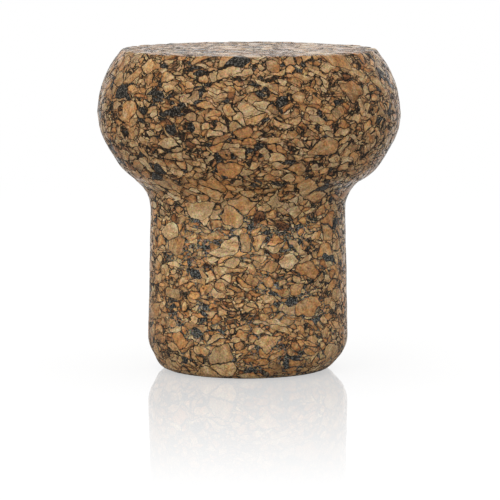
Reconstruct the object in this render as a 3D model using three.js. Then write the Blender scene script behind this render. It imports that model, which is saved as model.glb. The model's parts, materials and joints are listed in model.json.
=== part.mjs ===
// A mushroom-shaped bottle stopper: a straight shank under a wide, flat-topped head, turned and
// ground in one piece from a block of cork granules held in a dark binder.
//
// Millimetres, +Z up along the stopper's axis. The origin is the centre of the narrow end face,
// on which the stopper stands.

import * as THREE from "three";

// Driving dimensions

const shankLength = 18.2; // narrow end face to the inner corner under the head
const shankEndRadius = 10.1; // widest part of the shank, just above its bevelled end
const shankTaper = 0.35; // how much smaller the shank's radius is where it meets the head

const endBevelWidth = 1.65; // bevel round the narrow end face, measured across
const endBevelHeight = 2.45; // the same bevel, measured along the axis

const headHeight = 14.05; // inner corner under the head to the flat top
const headOverhang = 5.45; // how far the head stands out past the shank

const undersideReach = 3; // shallow part of the head's underside, measured across
const undersideRise = 1.8; // the same part, measured along the axis
const bellyHeight = 5.95; // inner corner to the edge where the underside meets the side
const crownInset = 2.5; // how far the flat top stops short of the head's full radius
const crownDrop = 3.1; // flat top to the edge where the crown meets the side

// Radii that round the section's corners

const footRound = 1.7; // narrow end face to bevel
const endRound = 3.3; // bevel to shank
const neckRound = 3.4; // hollow between shank and head
const undersideRound = 5.5; // shallow part to steep part of the underside
const bellyRound = 5.9; // underside to side
const crownRound = 9.4; // side to crown
const rimRound = 0.7; // crown to flat top

// Fineness of the faceted solid

const facetsAround = 72;
const arcStep = THREE.MathUtils.degToRad(7.5); // largest turn between two points of an arc

// Derived dimensions

const neckRadius = shankEndRadius - shankTaper;
const headRadius = neckRadius + headOverhang;
const overallHeight = shankLength + headHeight;

// Half of the stopper's section, from the centre of the narrow end to the centre of the top.
// Each entry is the radius and height of a corner, and the radius that rounds it.
const sectionCorners = [
  { r: 0, z: 0, round: 0 },
  { r: shankEndRadius - endBevelWidth, z: 0, round: footRound },
  { r: shankEndRadius, z: endBevelHeight, round: endRound },
  { r: neckRadius, z: shankLength, round: neckRound },
  { r: neckRadius + undersideReach, z: shankLength + undersideRise, round: undersideRound },
  { r: headRadius, z: shankLength + bellyHeight, round: bellyRound },
  { r: headRadius, z: overallHeight - crownDrop, round: crownRound },
  { r: headRadius - crownInset, z: overallHeight, round: rimRound },
  { r: 0, z: overallHeight, round: 0 },
];

// Signed angle that the outline turns through from one side to the next, anticlockwise positive.
function turnBetween(side, nextSide) {
  return Math.atan2(side.cross(nextSide), side.dot(nextSide));
}

// Points along one rounded corner: an arc that starts on the side before the corner, at the
// given distance from it, and ends at the same distance along the side after it.
function cornerArc(corner, sideBefore, turn, distance) {
  const along = sideBefore.clone().normalize();
  const start = corner.clone().addScaledVector(along, -distance);
  const radius = distance / Math.tan(turn / 2);
  const centre = start.clone().add(new THREE.Vector2(-along.y, along.x).multiplyScalar(radius));
  const steps = Math.ceil(Math.abs(turn) / arcStep);
  return Array.from({ length: steps + 1 }, (_, step) =>
    start.clone().rotateAround(centre, (turn * step) / steps),
  );
}

// The outline with an arc tangent to both sides at each corner that has a rounding radius.
// Where two arcs together need more than the side between them, both shrink to fit it.
function roundOutline(corners) {
  const points = corners.map(({ r, z }) => new THREE.Vector2(r, z));
  const sides = points.slice(1).map((point, i) => point.clone().sub(points[i]));
  const turns = corners.map((_, i) =>
    i > 0 && i < sides.length ? turnBetween(sides[i - 1], sides[i]) : 0,
  );
  const distances = corners.map(({ round }, i) => round * Math.tan(Math.abs(turns[i]) / 2));
  const fits = sides.map((side, i) => side.length() / (distances[i] + distances[i + 1]));
  return points.flatMap((point, i) =>
    distances[i] > 0
      ? cornerArc(point, sides[i - 1], turns[i], distances[i] * Math.min(1, fits[i - 1], fits[i]))
      : [point],
  );
}

// Agglomerated cork seen as one tone: brown granules and dark binder together.
function corkMaterial() {
  return new THREE.MeshStandardMaterial({ color: 0x7f664b, roughness: 0.6, metalness: 0 });
}

// The stopper, turned about its axis. LatheGeometry turns about Y, so the mesh is tipped upright.
function makeStopper() {
  const section = roundOutline(sectionCorners);
  const stopper = new THREE.Mesh(new THREE.LatheGeometry(section, facetsAround), corkMaterial());
  stopper.name = "cork_stopper";
  stopper.rotation.x = Math.PI / 2;
  return stopper;
}

const part = new THREE.Group();
part.add(makeStopper());

export default part;
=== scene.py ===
import json
import math

import bmesh
import bpy
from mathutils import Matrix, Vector

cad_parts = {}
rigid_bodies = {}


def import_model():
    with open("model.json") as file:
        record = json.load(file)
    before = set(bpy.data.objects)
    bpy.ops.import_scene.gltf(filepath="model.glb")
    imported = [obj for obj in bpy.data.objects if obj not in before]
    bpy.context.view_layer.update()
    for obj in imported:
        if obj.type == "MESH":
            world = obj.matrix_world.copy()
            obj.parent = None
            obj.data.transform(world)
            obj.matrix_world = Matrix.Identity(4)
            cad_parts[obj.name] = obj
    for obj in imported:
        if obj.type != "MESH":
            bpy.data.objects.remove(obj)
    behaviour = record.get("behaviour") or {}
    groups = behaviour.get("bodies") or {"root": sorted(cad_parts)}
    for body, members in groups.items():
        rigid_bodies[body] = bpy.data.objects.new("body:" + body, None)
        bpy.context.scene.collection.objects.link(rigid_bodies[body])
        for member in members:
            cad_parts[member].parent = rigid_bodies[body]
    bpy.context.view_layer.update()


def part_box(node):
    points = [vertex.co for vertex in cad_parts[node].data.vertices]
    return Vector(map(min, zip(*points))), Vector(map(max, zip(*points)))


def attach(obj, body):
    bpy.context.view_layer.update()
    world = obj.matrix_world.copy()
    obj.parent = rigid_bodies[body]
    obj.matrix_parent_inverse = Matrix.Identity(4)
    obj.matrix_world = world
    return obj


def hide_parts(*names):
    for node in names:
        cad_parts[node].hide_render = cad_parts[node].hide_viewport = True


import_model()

# A mushroom-shaped bottle stopper, ground from a block of cork granules held in a dark binder.
# It stands on its narrow end on a white gloss table. Metres, +Z up, origin at the narrow end.

MM = 0.001
CAD_NODE = "cork_stopper"

foot_corner, head_corner = (Vector(corner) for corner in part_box(CAD_NODE))

# ---------------------------------------------------------------- the stopper's sizes

HEIGHT = head_corner.z - foot_corner.z
HEAD_RADIUS = (head_corner.x - foot_corner.x) / 2
TOP_RADIUS = HEAD_RADIUS - 2.5 * MM  # the crown leans in this far to the rim of the flat top
NECK_HEIGHT = HEIGHT - 14.05 * MM  # the head is above it and the shank below
NECK_RADIUS = HEAD_RADIUS - 5.45 * MM
SHANK_RADIUS = NECK_RADIUS + 0.35 * MM  # the shank widens a little towards its bevelled end

# Corners of half the section, from the narrow end up: radius, height, the radius that rounds the
# corner, and how far its rings sit off the axis along X, because the piece is ground by hand.
SECTION = (
    (SHANK_RADIUS - 1.65 * MM, 0.0, 1.7 * MM, -0.28 * MM),
    (SHANK_RADIUS, 2.45 * MM, 3.3 * MM, -0.07 * MM),
    (NECK_RADIUS, NECK_HEIGHT, 3.4 * MM, -0.07 * MM),
    (NECK_RADIUS + 3.0 * MM, NECK_HEIGHT + 1.8 * MM, 5.5 * MM, 0.08 * MM),
    (HEAD_RADIUS, NECK_HEIGHT + 5.95 * MM, 5.9 * MM, 0.07 * MM),
    (HEAD_RADIUS, HEIGHT - 3.1 * MM, 9.4 * MM, 0.03 * MM),
    (TOP_RADIUS, HEIGHT, 0.4 * MM, 0.05 * MM),
)

AROUND = 96  # facets round the blank, before it is subdivided
RING_SPACING = 0.95 * MM  # along the section's straight sides and large arcs
LEAST_ARC_STEPS = 4
FACE_MARGIN = 0.5 * MM  # a ring this far inside each flat face keeps the face's edge crisp
GRID_SPAN = AROUND // 4  # facets along each side of the grid inside that ring
SUBDIVISIONS = 2


# ---------------------------------------------------------------- modelling tools


def deselect_all():
    for item in bpy.context.view_layer.objects:
        item.select_set(False)


def select_faces(piece, wanted):
    """Selects the faces of the piece in edit mode that the test accepts, and nothing else."""
    mesh = bmesh.from_edit_mesh(piece.data)
    for part in (mesh.verts, mesh.edges, mesh.faces):
        for element in part:
            element.select_set(False)
    for face in mesh.faces:
        if wanted(face):
            face.select_set(True)
    mesh.select_flush(True)
    bmesh.update_edit_mesh(piece.data)


def apply_modifier(piece, kind, **settings):
    modifier = piece.modifiers.new(kind.title(), kind)
    for name, value in settings.items():
        setattr(modifier, name, value)
    bpy.ops.object.modifier_apply(modifier=modifier.name)


# ---------------------------------------------------------------- the stopper's outline


def corner_arc(before, corner, after, rounding):
    """Points of the arc that rounds a corner of the section, tangent to both of its sides."""
    along = (corner - before).normalized()
    turn = along.angle_signed((after - corner).normalized())
    turn = -turn  # mathutils counts clockwise turns as positive
    start = corner - along * (rounding * math.tan(abs(turn) / 2))
    centre = start + Vector((-along.y, along.x)) * math.copysign(rounding, turn)
    steps = max(LEAST_ARC_STEPS, round(rounding * abs(turn) / RING_SPACING))
    points = []
    for step in range(steps + 1):
        angle = turn * step / steps
        spoke = start - centre
        points.append(
            centre
            + spoke * math.cos(angle)
            + Vector((-spoke.y, spoke.x)) * math.sin(angle)
        )
    return points


def section_rings():
    """The side's rings from the narrow end up, as radius, offset along X and height."""
    corners = [Vector((0.0, 0.0))]
    corners += [Vector((radius, height)) for radius, height, _, _ in SECTION]
    corners.append(Vector((0.0, HEIGHT)))
    rings = []
    for index, (_, _, rounding, offset) in enumerate(SECTION, start=1):
        arc = corner_arc(*corners[index - 1 : index + 2], rounding)
        arc = [Vector((point.x, offset, point.y)) for point in arc]
        if rings:
            last = rings[-1]
            steps = max(1, round((arc[0] - last).length / RING_SPACING))
            rings += [last.lerp(arc[0], step / steps) for step in range(1, steps)]
        rings += arc
    return rings


def make_blank(rings):
    """The stopper's smooth body: a disc extruded ring by ring up the section."""
    deselect_all()
    first = rings[0]
    bpy.ops.mesh.primitive_circle_add(
        vertices=AROUND,
        radius=first.x,
        fill_type="NGON",
        calc_uvs=False,
        location=(first.y, 0.0, first.z),
    )
    blank = bpy.context.active_object
    blank.name = "ground_cork_stopper"
    bpy.ops.object.transform_apply(location=True, rotation=True, scale=True)
    bpy.ops.object.mode_set(mode="EDIT")
    for lower, upper in zip(rings, rings[1:]):
        rise = (upper.y - lower.y, 0.0, upper.z - lower.z)
        bpy.ops.mesh.extrude_region_move(TRANSFORM_OT_translate={"value": rise})
        growth = upper.x / lower.x
        bpy.ops.transform.resize(
            value=(growth, growth, 1.0), center_override=(upper.y, 0.0, upper.z)
        )
    for level in (rings[0].z, rings[-1].z):
        close_face(blank, level)
    bpy.ops.mesh.select_all(action="SELECT")
    bpy.ops.mesh.normals_make_consistent(inside=False)
    bpy.ops.object.mode_set(mode="OBJECT")
    return blank


def close_face(blank, level):
    """Turns the many-sided face at that height into a grid of small faces inside a narrow ring."""

    def is_end(face):
        return len(face.verts) > 4 and abs(face.calc_center_median().z - level) < FACE_MARGIN

    select_faces(blank, is_end)
    bpy.ops.mesh.inset(thickness=FACE_MARGIN, depth=0.0)
    bpy.ops.mesh.delete(type="ONLY_FACE")
    mesh = bmesh.from_edit_mesh(blank.data)
    bpy.ops.mesh.select_mode(type="EDGE")
    for edge in mesh.edges:
        edge.select_set(edge.is_boundary)
    bmesh.update_edit_mesh(blank.data)
    bpy.ops.mesh.fill_grid(span=GRID_SPAN)
    bpy.ops.mesh.select_mode(type="FACE")


# The flat layout of the surface, on a square one unit wide: the side is a strip across its top,
# cut open at the back, and each flat face is a disc below the strip.
STRIP_BOTTOM, STRIP_TOP = 0.4, 0.995
DISC_RADIUS = 0.185
FOOT_DISC_PLACE, TOP_DISC_PLACE = (0.2, 0.2), (0.6, 0.2)
FLAT_TOLERANCE = 0.001 * MM  # a face that rises less than this lies in one of the flat faces


def azimuth(place, ring):
    """How far round the ring the place is, from 0 to 1 and back at the seam, with 0.5 in front."""
    return 0.5 + math.atan2(place.x - ring.y, -place.y) / math.tau


def disc_place(place, ring):
    """Where a place on a flat face lies on the layout. The narrow end is seen from below."""
    on_top = place.z > HEIGHT / 2
    centre = TOP_DISC_PLACE if on_top else FOOT_DISC_PLACE
    scale = DISC_RADIUS / ring.x
    across = (place.x - ring.y) * scale * (1 if on_top else -1)
    return (centre[0] + across, centre[1] + place.y * scale)


def lay_out_map(piece, rings):
    """Gives the piece a UV map on which the pattern keeps nearly the same scale everywhere."""
    lengths = [0.0]
    for lower, upper in zip(rings, rings[1:]):
        lengths.append(lengths[-1] + math.hypot(upper.x - lower.x, upper.z - lower.z))
    rise = (STRIP_TOP - STRIP_BOTTOM) / lengths[-1]
    mesh = piece.data
    layer = mesh.uv_layers.new(name="OFBake")

    def nearest_ring(place):
        return min(range(len(rings)), key=lambda index: abs(rings[index].z - place.z))

    ring_of = [nearest_ring(vertex.co) for vertex in mesh.vertices]
    for face in mesh.polygons:
        heights = [mesh.vertices[vertex].co.z for vertex in face.vertices]
        is_flat = max(heights) - min(heights) < FLAT_TOLERANCE
        middle = azimuth(face.center, rings[ring_of[face.vertices[0]]])
        for loop, vertex in zip(face.loop_indices, face.vertices):
            place = mesh.vertices[vertex].co
            ring = rings[ring_of[vertex]]
            if is_flat:
                layer.uv[loop].vector = disc_place(place, ring)
                continue
            around = azimuth(place, ring)
            around += round(middle - around)  # a face beside the seam stays in one piece
            layer.uv[loop].vector = (around, STRIP_BOTTOM + lengths[ring_of[vertex]] * rise)


# ---------------------------------------------------------------- node tools


def add_node(tree, kind, inputs, **settings):
    """Adds a node. Its inputs are given by name or number, as a plain value or a socket."""
    node = tree.nodes.new(kind)
    for name, value in settings.items():
        setattr(node, name, value)
    for key, value in inputs.items():
        if isinstance(value, bpy.types.NodeSocket):
            tree.links.new(value, node.inputs[key])
        else:
            node.inputs[key].default_value = value
    return node


def new_material(name):
    material = bpy.data.materials.new(name)
    material.use_nodes = True
    material.node_tree.nodes.clear()
    return material, material.node_tree


def calc(tree, operation, *terms):
    """A number worked out from the terms by a Math node."""
    inputs = dict(enumerate(terms))
    return add_node(tree, "ShaderNodeMath", inputs, operation=operation).outputs[0]


def vector_calc(tree, operation, *terms):
    inputs = dict(enumerate(terms))
    return add_node(tree, "ShaderNodeVectorMath", inputs, operation=operation).outputs[0]


def scaled(tree, vector, factor):
    inputs = {"Vector": vector, "Scale": factor}
    return add_node(tree, "ShaderNodeVectorMath", inputs, operation="SCALE").outputs[0]


def ramp_between(tree, value, start, end, low=0.0, high=1.0):
    """Goes smoothly from low, where the value is at start, to high, where it is at end."""
    inputs = {"Value": value, "From Min": start, "From Max": end, "To Min": low, "To Max": high}
    return add_node(tree, "ShaderNodeMapRange", inputs, interpolation_type="SMOOTHSTEP").outputs[0]


def mix_numbers(tree, factor, first, second):
    return add_node(tree, "ShaderNodeMix", {0: factor, 2: first, 3: second}).outputs[0]


def mix_vectors(tree, factor, first, second):
    inputs = {0: factor, 4: first, 5: second}
    return add_node(tree, "ShaderNodeMix", inputs, data_type="VECTOR").outputs[1]


def mix_colours(tree, factor, first, second, blend="MIX"):
    inputs = {0: factor, 6: first, 7: second}
    return add_node(tree, "ShaderNodeMix", inputs, data_type="RGBA", blend_type=blend).outputs[2]


def srgb(red, green, blue):
    """A colour given as it shows on a screen, from 0 to 255, as the linear light it stands for."""

    def linear(value):
        value /= 255
        return value / 12.92 if value <= 0.04045 else ((value + 0.055) / 1.055) ** 2.4

    return (linear(red), linear(green), linear(blue), 1.0)


def colour_ramp(tree, level, stops):
    """The colour at that level between the stops, each a level and a colour."""
    ramp = add_node(tree, "ShaderNodeValToRGB", {0: level})
    elements = ramp.color_ramp.elements
    for element, (position, colour) in zip(elements, (stops[0], stops[-1])):
        element.position = position
        element.color = srgb(*colour)
    for position, colour in stops[1:-1]:
        elements.new(position).color = srgb(*colour)
    return ramp.outputs[0]


def noise(tree, place, scale, detail=2.0, roughness=0.5):
    """A noise node over a place in millimetres, with scale features to the millimetre."""
    inputs = {"Vector": place, "Scale": scale, "Detail": detail, "Roughness": roughness}
    return add_node(tree, "ShaderNodeTexNoise", inputs, noise_dimensions="3D")


def wobble(tree, place, scale, reach):
    """The place moved about by noise, by up to about the reach in millimetres."""
    swing = noise(tree, place, scale, 1.0).outputs["Color"]
    swing = vector_calc(tree, "SUBTRACT", swing, (0.5, 0.5, 0.5))
    return vector_calc(tree, "ADD", place, scaled(tree, swing, 2.0 * reach))


def swing_about_zero(tree, place, scale, detail, roughness=0.5):
    """Noise that goes as far below zero as above it, by less than a half."""
    return calc(tree, "SUBTRACT", noise(tree, place, scale, detail, roughness).outputs[0], 0.5)


def hypotenuse(tree, first, second):
    squares = [calc(tree, "MULTIPLY", side, side) for side in (first, second)]
    return calc(tree, "SQRT", calc(tree, "ADD", *squares))


def split(tree, vector):
    """The three numbers of a vector or a colour."""
    return add_node(tree, "ShaderNodeSeparateXYZ", {0: vector}).outputs


def tinted(tree, share, colour, tint):
    """The colour times the tint, where the share is 1."""
    return mix_colours(tree, share, colour, (*tint, 1.0), "MULTIPLY")


# ---------------------------------------------------------------- the cork's granules

# Grades of granule, each laid over the ones before it, from crumbs to the largest: size across in
# millimetres, the share of places that hold one, how flat it lies, how its layer is turned, how
# thick its line of binder is beside the others', and how seldom it is bark or charcoal.
GRADES = (
    {"size": 0.38, "share": 0.90, "flat": 1.3, "turn": (0.3, 0.2, 0.5), "line": 0.8, "seldom": 0.0},
    {"size": 0.64, "share": 0.82, "flat": 1.6, "turn": (-0.25, 0.1, 1.9), "line": 0.95, "seldom": 0.0},
    {"size": 1.00, "share": 0.68, "flat": 1.8, "turn": (0.2, -0.3, 3.2), "line": 1.15, "seldom": 0.0},
    {"size": 1.45, "share": 0.46, "flat": 1.7, "turn": (-0.1, 0.25, 4.4), "line": 1.4, "seldom": 0.02},
    {"size": 1.65, "share": 0.20, "flat": 2.8, "turn": (0.35, -0.3, 0.9), "line": 1.3, "seldom": 0.06},
    {"size": 2.50, "share": 0.22, "flat": 1.5, "turn": (0.3, 0.2, 2.5), "line": 1.6, "seldom": 0.11},
)
# Which part of the endless block of granules the piece is cut from.
PATTERN_SHIFT = (-66.0, -48.0, 8.0)
LAYER_STEP = 7.3  # keeps each grade's cells apart from the next one's
LEAST_GAP, MOST_GAP = 0.044, 0.125  # half the width of the binder between two granules
CORNER_START = 0.42  # how far out a granule's corners begin, in its own sizes
CORNER_ROUNDING = 0.6  # how much of a granule's corners is worn away
SHARE_SWING = 0.2  # how much a grade's share differs from region to region
SHANK_TOP, SHANK_BELOW = 19.0, 15.0  # the head's finish, painted light and painted sheen turn into the shank's between these heights

# Scales of noise are in features to the millimetre, here and further on.
GAP_SCALE, CROWDING_SCALE = 1.1, 0.14
LONG_BENDS, SHORT_BENDS = (0.6, 0.6), (2.2, 0.11)  # in the granules' edges, as scale and reach


def shank_share(tree, place):
    """1 on the shank and 0 on the head, with a soft change at the neck."""
    return ramp_between(tree, split(tree, place)[2], SHANK_TOP, SHANK_BELOW)


def gap_width(tree, place, shank):
    """Half the width of the binder's lines, which vary less on the shank."""
    least = mix_numbers(tree, shank, LEAST_GAP, 1.25 * LEAST_GAP)
    most = mix_numbers(tree, shank, MOST_GAP, 0.8 * MOST_GAP)
    variation = noise(tree, place, GAP_SCALE, 1.0).outputs[0]
    return mix_numbers(tree, ramp_between(tree, variation, 0.45, 0.78), least, most)


def granule_cells(tree, place, number, grade):
    """The cells of one grade, and how deep inside the edge of its granule the place is."""
    size, flat = grade["size"], grade["flat"]
    turned = add_node(
        tree,
        "ShaderNodeVectorRotate",
        {"Vector": place, "Rotation": grade["turn"]},
        rotation_type="EULER_XYZ",
    ).outputs[0]
    stretch = (1 / size, 1 / size, flat / size)
    cell_place = vector_calc(tree, "MULTIPLY_ADD", turned, stretch, (LAYER_STEP * number,) * 3)
    inputs = {"Vector": cell_place, "Scale": 1.0}
    cell = add_node(tree, "ShaderNodeTexVoronoi", inputs)
    edge = add_node(tree, "ShaderNodeTexVoronoi", inputs, feature="DISTANCE_TO_EDGE")
    corner = calc(tree, "SUBTRACT", cell.outputs["Distance"], CORNER_START)
    corner = calc(tree, "MAXIMUM", corner, 0.0)
    corner = calc(tree, "MULTIPLY", corner, corner)
    inwards = calc(tree, "MULTIPLY_ADD", corner, -CORNER_ROUNDING, edge.outputs["Distance"])
    return cell, calc(tree, "MULTIPLY", inwards, size)


def present_cells(tree, cell, grade):
    """1 in the cells that hold a granule. The grade crowds in some regions and thins in others."""
    middle = scaled(tree, cell.outputs["Position"], grade["size"])
    crowding = noise(tree, middle, CROWDING_SCALE, 1.0).outputs[0]
    low, high = grade["share"] - SHARE_SWING, grade["share"] + SHARE_SWING
    share = ramp_between(tree, crowding, 0.3, 0.7, low, high)
    return calc(tree, "LESS_THAN", split(tree, cell.outputs["Color"])[0], share)


def granule_chance(tree, cell, seldom):
    """Each granule's own random numbers: its tone, its kind and its warmth."""
    fresh = add_node(tree, "ShaderNodeTexWhiteNoise", {"Vector": cell.outputs["Position"]})
    narrowed = (1.0, 1.0 - 2.0 * seldom, 1.0)
    return vector_calc(
        tree, "MULTIPLY_ADD", fresh.outputs["Color"], narrowed, (0.0, seldom, 0.0)
    )


def granules(tree, place, softness):
    """Where the cork is, each granule's own random numbers and the depth inside its edge."""
    shank = shank_share(tree, place)
    place = vector_calc(tree, "ADD", place, PATTERN_SHIFT)
    gap = gap_width(tree, place, shank)
    bent_place = wobble(tree, wobble(tree, place, *LONG_BENDS), *SHORT_BENDS)
    cork, chance, depth = 0.0, (0.5, 0.5, 0.5), 0.0
    for number, grade in enumerate(GRADES):
        cell, inwards = granule_cells(tree, bent_place, number, grade)
        cover = ramp_between(tree, inwards, -softness, softness)
        cover = calc(tree, "MULTIPLY", present_cells(tree, cell, grade), cover)
        line = calc(tree, "MULTIPLY", gap, grade["line"])
        inside = ramp_between(tree, calc(tree, "SUBTRACT", inwards, line), -softness, softness)
        cork = mix_numbers(tree, cover, cork, inside)
        depth = mix_numbers(tree, cover, depth, inwards)
        chance = mix_vectors(tree, cover, chance, granule_chance(tree, cell, grade["seldom"]))
    return cork, chance, depth


# ---------------------------------------------------------------- the cork's colours and finish

CORK_TONES = (
    (0.0, (76, 50, 29)),
    (0.25, (117, 84, 51)),
    (0.5, (150, 115, 75)),
    (0.75, (174, 141, 97)),
    (1.0, (197, 169, 124)),
)
BARK_DARK, BARK_PALE = (36, 22, 14), (140, 90, 50)
# These tints multiply the cork's tones.
RUSTY, ASHEN = (1.0, 0.755, 0.54), (0.95, 1.04, 1.17)
# Painted light: the shank's cork is painted paler, as if more light fell on it.
SHANK_PAINTED_LIGHT = (1.24, 1.265, 1.27)
# The head's and the shank's own: on the shank, dust and a painted sheen grey what is dark.
CHARCOAL_DARK = (22, 18, 12), (33, 31, 27)
CHARCOAL_PALE = (112, 105, 95), (125, 127, 123)
BINDER_DARK = (29, 18, 4), (45, 36, 21)
BINDER_DUST_AND_SHEEN = (77, 57, 33), (131, 127, 114)

# How far each of these moves a granule's tone, where 1 is the whole range of tones.
DARKEST = -0.72
OWN_TONE, MOTTLE, FIBRE, GRAIN, CRACK = 0.32, 1.0, 0.75, 0.7, -0.6
CRACK_LEVEL, CRACK_WIDTH = 0.47, 0.014  # of the mottle, along whose middle level a crack runs
CRACKED_TONE = 0.6  # granules whose own tone is above it are cracked
OWN_WARMTH, PATCH_WARMTH, REGION_WARMTH = 0.34, 1.16, 0.35
BARK_SHARE = 0.03  # of all granules
LEAST_CHARCOAL, MOST_CHARCOAL, MOST_CHARCOAL_ON_SHANK = 0.035, 0.24, 0.22
CORK_FLECKS, BINDER_FLECKS = 0.45, 0.65  # how strongly the hue varies from speck to speck

MOTTLE_SCALE, FIBRE_SCALE, GRAIN_SCALE = 1.6, 4.5, 6.0
WARM_PATCH_SCALE, WARM_REGION_SCALE = 1.3, 0.2
SPECKLE_SCALE, FLECK_SCALE = 5.5, 5.0
CHARCOAL_PATCH_SCALE, GLOSS_SCALE = 0.28, 1.2
FIBRE_STRETCH = (0.3, 1.0, 1.0)
OWN_PLACE = (40.0, 40.0, 40.0)  # how far apart two granules' parts of the noise can lie

COLOUR_SOFTNESS = 0.012  # millimetres over which cork turns into binder
LEAST_ROUGHNESS, MOST_ROUGHNESS, BINDER_ROUGHNESS = 0.2, 0.45, 0.6
BUMP_DEPTH = 0.04 * MM
BUMP_STRENGTH = 0.8
CORK_IOR = 1.5


def flecked(tree, colour, flecks, amount):
    """The colour with its hue varied from speck to speck by a noise node's own colours."""
    tint = mix_colours(tree, amount, (0.5, 0.5, 0.5, 1.0), flecks.outputs["Color"])
    return mix_colours(tree, 1.0, colour, scaled(tree, tint, 2.0), "MULTIPLY")


def granule_places(tree, place, chance, warmth):
    """Each granule's own part of the noise, plain and turned and drawn out along its fibres."""
    own_place = vector_calc(tree, "MULTIPLY_ADD", chance, OWN_PLACE, place)
    turn = {"Vector": own_place, "Axis": chance, "Angle": calc(tree, "MULTIPLY", warmth, 6.28)}
    turned = add_node(tree, "ShaderNodeVectorRotate", turn).outputs[0]
    return own_place, vector_calc(tree, "MULTIPLY", turned, FIBRE_STRETCH)


def granule_level(tree, tone, warmth, mottle, fibre, grain, depth):
    """How pale the cork is: the granule's own tone, its mottle, fibres, grain, edge and cracks."""
    edge = ramp_between(tree, depth, 0.03, 0.3, 1.0, 0.0)
    edge_effect = calc(tree, "MULTIPLY_ADD", warmth, -0.6, 0.12)
    level = calc(tree, "MULTIPLY_ADD", tone, OWN_TONE, DARKEST)
    level = calc(tree, "MULTIPLY_ADD", mottle, MOTTLE, level)
    level = calc(tree, "MULTIPLY_ADD", fibre, FIBRE, level)
    level = calc(tree, "MULTIPLY_ADD", grain, GRAIN, level)
    level = calc(tree, "MULTIPLY_ADD", edge, edge_effect, level)
    crack = calc(tree, "ABSOLUTE", calc(tree, "SUBTRACT", mottle, CRACK_LEVEL))
    crack = ramp_between(tree, crack, CRACK_WIDTH, 0.0)
    crack = calc(tree, "MULTIPLY", crack, calc(tree, "GREATER_THAN", tone, CRACKED_TONE))
    return calc(tree, "MULTIPLY_ADD", crack, CRACK, level)


def granule_warmth(tree, place, fibre_place, warmth):
    """How warm the cork's hue is: the granule's own warmth, its patches, and whole regions."""
    patches = noise(tree, fibre_place, WARM_PATCH_SCALE).outputs[0]
    patches = calc(tree, "MULTIPLY", patches, PATCH_WARMTH)
    warm = calc(tree, "MULTIPLY_ADD", warmth, OWN_WARMTH, patches)
    region = swing_about_zero(tree, place, WARM_REGION_SCALE, 1.0)
    return calc(tree, "MULTIPLY_ADD", region, REGION_WARMTH, warm)


def bark_colour(tree, tone, level):
    """The colour of a crumb of bark, by its own tone and the cork's level there."""
    level = ramp_between(tree, calc(tree, "MULTIPLY_ADD", tone, -0.3, level), 0.25, 0.85)
    return mix_colours(tree, level, srgb(*BARK_DARK), srgb(*BARK_PALE))


def cork_colour(tree, place, chance, depth):
    """The colour of the cork, the number that picks charcoal, and the cork's own small bumps."""
    tone, kind, warmth = split(tree, chance)
    own_place, fibre_place = granule_places(tree, place, chance, warmth)
    mottle = noise(tree, fibre_place, MOTTLE_SCALE).outputs[0]
    fibre = noise(tree, fibre_place, FIBRE_SCALE, roughness=0.6).outputs[0]
    specks = noise(tree, own_place, GRAIN_SCALE, 1.0, 0.7)
    grain = specks.outputs[0]
    level = granule_level(tree, tone, warmth, mottle, fibre, grain, depth)
    warm = granule_warmth(tree, place, fibre_place, warmth)
    colour = colour_ramp(tree, level, CORK_TONES)
    colour = tinted(tree, ramp_between(tree, warm, 0.62, 1.02), colour, RUSTY)
    colour = tinted(tree, ramp_between(tree, warm, 0.75, 0.40), colour, ASHEN)
    colour = flecked(tree, colour, specks, CORK_FLECKS)
    is_bark = calc(tree, "LESS_THAN", kind, BARK_SHARE)
    colour = mix_colours(tree, is_bark, colour, bark_colour(tree, tone, level))
    bumps = calc(tree, "MULTIPLY_ADD", mottle, 2.0, calc(tree, "MULTIPLY", grain, 0.5))
    return colour, kind, bumps


def charcoal(tree, kind, speckle, patches, shank, dust_and_sheen_share):
    """Which granules are charcoal, in loose patches, and their colour."""
    most = mix_numbers(tree, shank, MOST_CHARCOAL, MOST_CHARCOAL_ON_SHANK)
    share = ramp_between(tree, patches, 0.4, 0.7, LEAST_CHARCOAL, most)
    is_charcoal = calc(tree, "GREATER_THAN", kind, calc(tree, "SUBTRACT", 1.0, share))
    # on the shank, dust and a painted sheen grey the charcoal
    dark, pale = (
        mix_colours(tree, dust_and_sheen_share, srgb(*head), srgb(*shank_own))
        for head, shank_own in (CHARCOAL_DARK, CHARCOAL_PALE)
    )
    level = ramp_between(tree, speckle, 0.46, 0.70)
    return is_charcoal, mix_colours(tree, level, dark, pale)


def binder_colour(tree, place, speckle, dust_and_sheen_share):
    """The binder between the granules: dark, with specks of cork dust in it, and on the shank a
    painted sheen too.
    """
    # on the shank, the dust colour is partly a painted sheen
    dark, dust = (
        mix_colours(tree, dust_and_sheen_share, srgb(*head), srgb(*shank_own))
        for head, shank_own in (BINDER_DARK, BINDER_DUST_AND_SHEEN)
    )
    colour = mix_colours(tree, ramp_between(tree, speckle, 0.46, 0.62), dark, dust)
    return flecked(tree, colour, noise(tree, place, FLECK_SCALE, 1.0), BINDER_FLECKS)


def cork_roughness(tree, place, cork):
    """Cork is satin and dull by turns, and the binder is duller."""
    dullness = noise(tree, place, GLOSS_SCALE).outputs[0]
    dullness = ramp_between(tree, dullness, 0.35, 0.7, LEAST_ROUGHNESS, MOST_ROUGHNESS)
    return mix_numbers(tree, cork, BINDER_ROUGHNESS, dullness)


def cork_bumps(tree, bumps, cork):
    """The finest relief: the granules' own bumps, and the binder lower than the cork."""
    height = calc(tree, "ADD", bumps, cork)
    inputs = {"Height": height, "Distance": BUMP_DEPTH, "Strength": BUMP_STRENGTH}
    return add_node(tree, "ShaderNodeBump", inputs).outputs[0]


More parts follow.
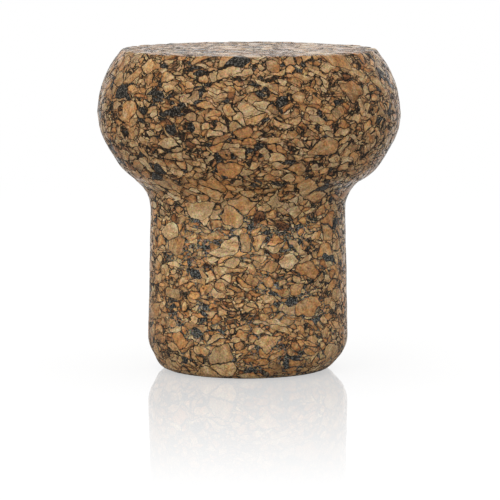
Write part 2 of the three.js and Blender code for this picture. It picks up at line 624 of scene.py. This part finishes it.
def cork_material():
    """Ground cork: granules of many tones, charcoal and bark among them, in a dark binder."""
    material, tree = new_material("ground_cork")
    coordinates = add_node(tree, "ShaderNodeTexCoord", {})
    place = scaled(tree, coordinates.outputs["Object"], 1 / MM)
    cork, chance, depth = granules(tree, place, COLOUR_SOFTNESS)
    colour, kind, bumps = cork_colour(tree, place, chance, depth)
    speckle = noise(tree, place, SPECKLE_SCALE, roughness=0.8).outputs[0]
    patches = noise(tree, place, CHARCOAL_PATCH_SCALE, 1.0).outputs[0]
    shank = shank_share(tree, place)
    # where dust and a painted sheen grey the shank's binder and charcoal, in patches
    dust_and_sheen_share = calc(tree, "MULTIPLY", shank, ramp_between(tree, patches, 0.44, 0.60, 0.22, 1.0))
    # painted light: the shank's cork is painted paler here
    colour = tinted(tree, shank, colour, SHANK_PAINTED_LIGHT)
    is_charcoal, charcoal_colour = charcoal(tree, kind, speckle, patches, shank, dust_and_sheen_share)
    colour = mix_colours(tree, is_charcoal, colour, charcoal_colour)
    colour = mix_colours(tree, cork, binder_colour(tree, place, speckle, dust_and_sheen_share), colour)
    inputs = {
        "Base Color": colour,
        "Roughness": cork_roughness(tree, place, cork),
        "Normal": cork_bumps(tree, bumps, cork),
        "IOR": CORK_IOR,
    }
    shader = add_node(tree, "ShaderNodeBsdfPrincipled", inputs)
    add_node(tree, "ShaderNodeOutputMaterial", {0: shader.outputs[0]})
    return material


# ---------------------------------------------------------------- the surface's relief

RELIEF_SOFTNESS = 0.12  # millimetres over which a granule's edge falls away
RECESS = 0.03 * MM  # depth of the binder below the ground surface
UNEVENNESS = 0.045 * MM  # how far hand grinding strays from a true round
CHIPS = 0.09 * MM  # depth of the chips in the rim round the top face
CHIP_NEAR, CHIP_FAR = 0.1 * MM, 1.3 * MM  # they are whole this near the rim and end this far off
STRAY_SCALE, DENT_SCALE, CHIP_SCALE = 0.2, 0.55, 0.6


def binder_recess(tree, place):
    """Sinks the binder, and each granule a little by its own amount."""
    cork, chance, _ = granules(tree, place, RELIEF_SOFTNESS)
    level = calc(tree, "MULTIPLY_ADD", split(tree, chance)[0], 0.4, 0.6)
    return calc(tree, "MULTIPLY_ADD", calc(tree, "MULTIPLY", cork, level), RECESS, -RECESS)


def grinding_dents(tree, place, normal):
    """Shallow flats and dents on the round sides. The flat faces have none."""
    tilt = calc(tree, "ABSOLUTE", split(tree, normal)[2])
    roundness = ramp_between(tree, tilt, 0.998, 0.9)
    dent = swing_about_zero(tree, place, DENT_SCALE, 1.0)
    return calc(tree, "MULTIPLY", calc(tree, "MULTIPLY", dent, 2 * UNEVENNESS), roundness)


def rim_chips(tree, place, position):
    """Small losses along the rim round the top face."""
    x, y, z = split(tree, position)
    outwards = calc(tree, "SUBTRACT", hypotenuse(tree, x, y), TOP_RADIUS)
    from_rim = hypotenuse(tree, outwards, calc(tree, "SUBTRACT", HEIGHT, z))
    chip = ramp_between(tree, noise(tree, place, CHIP_SCALE, 1.0).outputs[0], 0.4, 0.65)
    loss = ramp_between(tree, from_rim, CHIP_FAR, CHIP_NEAR, 0.0, -CHIPS)
    return calc(tree, "MULTIPLY", chip, loss)


def sideways_stray(tree, place, normal):
    """Moves the sides in and out, and leaves the heights alone."""
    sideways = vector_calc(tree, "MULTIPLY", normal, (1.0, 1.0, 0.0))
    stray = swing_about_zero(tree, place, STRAY_SCALE, 2.0, 0.6)
    return scaled(tree, sideways, calc(tree, "MULTIPLY", stray, 2 * UNEVENNESS))


def add_relief(piece):
    """Sinks the binder below the granules, chips the rim and leaves the sides a little uneven."""
    tree = bpy.data.node_groups.new("granule_relief", "GeometryNodeTree")
    for way in ("INPUT", "OUTPUT"):
        tree.interface.new_socket("Geometry", in_out=way, socket_type="NodeSocketGeometry")
    start = add_node(tree, "NodeGroupInput", {})
    position = add_node(tree, "GeometryNodeInputPosition", {}).outputs[0]
    normal = add_node(tree, "GeometryNodeInputNormal", {}).outputs[0]
    place = scaled(tree, position, 1 / MM)
    rise = calc(tree, "ADD", binder_recess(tree, place), grinding_dents(tree, place, normal))
    rise = calc(tree, "ADD", rise, rim_chips(tree, place, position))
    offset = scaled(tree, normal, rise)
    offset = vector_calc(tree, "ADD", offset, sideways_stray(tree, place, normal))
    moved = add_node(
        tree, "GeometryNodeSetPosition", {"Geometry": start.outputs[0], "Offset": offset}
    )
    add_node(tree, "NodeGroupOutput", {0: moved.outputs[0]})
    apply_modifier(piece, "NODES", node_group=tree)


# ---------------------------------------------------------------- the studio

WHITE = (1.0, 1.0, 1.0, 1.0)
CAMERA_PLACE = (0.14 * MM, -352.2 * MM, 53.2 * MM)
CAMERA_DIP = 6.68  # degrees below level
LENS, SENSOR_WIDTH = 253.5, 36.0

# The lit sweep stands behind the stopper, a little to the right. Satin surfaces see it there, and
# a dim room elsewhere.
SWEEP_WAY = (0.09, 0.996, 0.0)
SWEEP_EDGE, SWEEP_FULL = 0.66, 0.93  # cosines of the angles from that way
DIM_ROOM, LIT_SWEEP = 0.17, 1.13
SWEEP_IN_FLOOR = 0.85  # how much of it the table passes on
ROOM_LIGHT = 0.77  # what the tent's walls give to matt surfaces

FLOOR_SIZE = 6.0
FLOOR_IOR = 1.49
MOST_GLOSS = 0.79  # the share of a plain gloss surface's reflection that is left near the stopper
GLOSS_NEAR, GLOSS_FAR = 14.0 * MM, 80.0 * MM  # the reflection fades out between these distances
SHADE_NEAR, SHADE_FAR = 60.0 * MM, 200.0 * MM  # and the shadow between these
SHADE, SHADED_GLOW = 0.2, 0.79  # the part of the table's white that takes a shadow, and the rest
FLOOR_BOUNCE = 0.7  # how pale the table is to the light that it sends back up


def make_camera():
    data = bpy.data.cameras.new("studio_camera")
    data.lens = LENS
    data.sensor_width = SENSOR_WIDTH
    camera = bpy.data.objects.new("studio_camera", data)
    camera.location = CAMERA_PLACE
    camera.rotation_euler = (math.radians(90.0 - CAMERA_DIP), 0.0, 0.0)
    bpy.context.scene.collection.objects.link(camera)
    bpy.context.scene.camera = camera


def make_softbox(name, place, size, watts):
    """A soft lamp that lights the middle of the stopper, and that glossy surfaces don't mirror."""
    data = bpy.data.lights.new(name, "AREA")
    data.shape = "RECTANGLE"
    data.size, data.size_y = size
    data.energy = watts
    lamp = bpy.data.objects.new(name, data)
    lamp.location = place
    lamp.visible_glossy = False
    beam = Vector((0.0, 0.0, HEIGHT / 2)) - Vector(place)
    lamp.rotation_euler = beam.to_track_quat("-Z", "Y").to_euler()
    bpy.context.scene.collection.objects.link(lamp)


def make_lights():
    make_softbox("overhead_softbox", (0.0, 0.02, 0.45), (0.5, 0.5), 1.1)
    make_softbox("front_left_softbox", (-0.3, -0.45, 0.25), (0.35, 0.35), 0.85)


def sweep_level(tree, direction):
    """How bright the studio is that way to a satin surface."""
    ways = {0: direction, 1: SWEEP_WAY}
    behind = add_node(tree, "ShaderNodeVectorMath", ways, operation="DOT_PRODUCT").outputs["Value"]
    return ramp_between(tree, behind, SWEEP_EDGE, SWEEP_FULL, DIM_ROOM, LIT_SWEEP)


def mix_shaders(tree, factor, first, second):
    return add_node(tree, "ShaderNodeMixShader", {0: factor, 1: first, 2: second}).outputs[0]


def emission(tree, strength):
    inputs = {"Color": WHITE, "Strength": strength}
    return add_node(tree, "ShaderNodeEmission", inputs).outputs[0]


def seen_floor(tree, away):
    """What the camera sees of the table: white, with the stopper's shadow near it."""
    near = ramp_between(tree, away, SHADE_NEAR, SHADE_FAR, 1.0, 0.0)
    shade = mix_colours(tree, near, (0.0, 0.0, 0.0, 1.0), (SHADE, SHADE, SHADE, 1.0))
    shadowed = add_node(tree, "ShaderNodeBsdfDiffuse", {"Color": shade}).outputs[0]
    glow = emission(tree, mix_numbers(tree, near, 1.0, SHADED_GLOW))
    return add_node(tree, "ShaderNodeAddShader", {0: glow, 1: shadowed}).outputs[0]


def floor_material():
    """White gloss table: plain white to the camera, with the stopper's shadow and reflection."""
    material, tree = new_material("white_gloss_table")
    place = add_node(tree, "ShaderNodeTexCoord", {}).outputs["Object"]
    away = add_node(tree, "ShaderNodeVectorMath", {0: place}, operation="LENGTH").outputs["Value"]
    fade = ramp_between(tree, away, GLOSS_NEAR, GLOSS_FAR, MOST_GLOSS, 0.0)
    fresnel = add_node(tree, "ShaderNodeFresnel", {"IOR": FLOOR_IOR}).outputs[0]
    mirror_share = calc(tree, "MULTIPLY", fade, fresnel)
    bounce = {"Color": (FLOOR_BOUNCE, FLOOR_BOUNCE, FLOOR_BOUNCE, 1.0)}
    bounce = add_node(tree, "ShaderNodeBsdfDiffuse", bounce).outputs[0]
    sweep = sweep_level(tree, vector_calc(tree, "NORMALIZE", place))
    sweep = emission(tree, calc(tree, "MULTIPLY", sweep, SWEEP_IN_FLOOR))
    paths = add_node(tree, "ShaderNodeLightPath", {}).outputs
    body = mix_shaders(tree, paths["Is Glossy Ray"], bounce, sweep)
    body = mix_shaders(tree, paths["Is Camera Ray"], body, seen_floor(tree, away))
    mirror = add_node(tree, "ShaderNodeBsdfGlossy", {"Color": WHITE, "Roughness": 0.0}).outputs[0]
    surface = mix_shaders(tree, mirror_share, body, mirror)
    add_node(tree, "ShaderNodeOutputMaterial", {0: surface})
    return material


def make_floor():
    deselect_all()
    bpy.ops.mesh.primitive_plane_add(size=FLOOR_SIZE, location=(0.0, 0.0, 0.0))
    floor = bpy.context.active_object
    floor.name = "table"
    floor.data.materials.append(floor_material())


def make_world():
    """White to the camera and to sharp reflections, the sweep to satin ones, and soft light."""
    world = bpy.data.worlds.new("light_tent")
    world.use_nodes = True
    bpy.context.scene.world = world
    tree = world.node_tree
    tree.nodes.clear()
    directions = add_node(tree, "ShaderNodeTexCoord", {}).outputs["Generated"]
    paths = add_node(tree, "ShaderNodeLightPath", {}).outputs
    sweep = sweep_level(tree, directions)
    level = mix_numbers(tree, paths["Is Glossy Ray"], ROOM_LIGHT, sweep)
    sharp = calc(tree, "MAXIMUM", paths["Is Camera Ray"], paths["Is Singular Ray"])
    level = mix_numbers(tree, sharp, level, 1.0)
    background = add_node(tree, "ShaderNodeBackground", {"Color": WHITE, "Strength": level})
    add_node(tree, "ShaderNodeOutputWorld", {0: background.outputs[0]})


# ---------------------------------------------------------------- assembly


def make_stopper():
    """The whole stopper: the ground blank, its flat layout, the surface's relief and the cork."""
    rings = section_rings()
    stopper = make_blank(rings)
    lay_out_map(stopper, rings)
    apply_modifier(stopper, "SUBSURF", levels=SUBDIVISIONS, render_levels=SUBDIVISIONS)
    add_relief(stopper)
    bpy.ops.object.shade_smooth()
    stopper.data.materials.append(cork_material())
    return stopper


make_camera()
make_world()
make_lights()
make_floor()

stopper = make_stopper()
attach(stopper, "root")
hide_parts(CAD_NODE)

bpy.context.scene.view_settings.view_transform = "Standard"
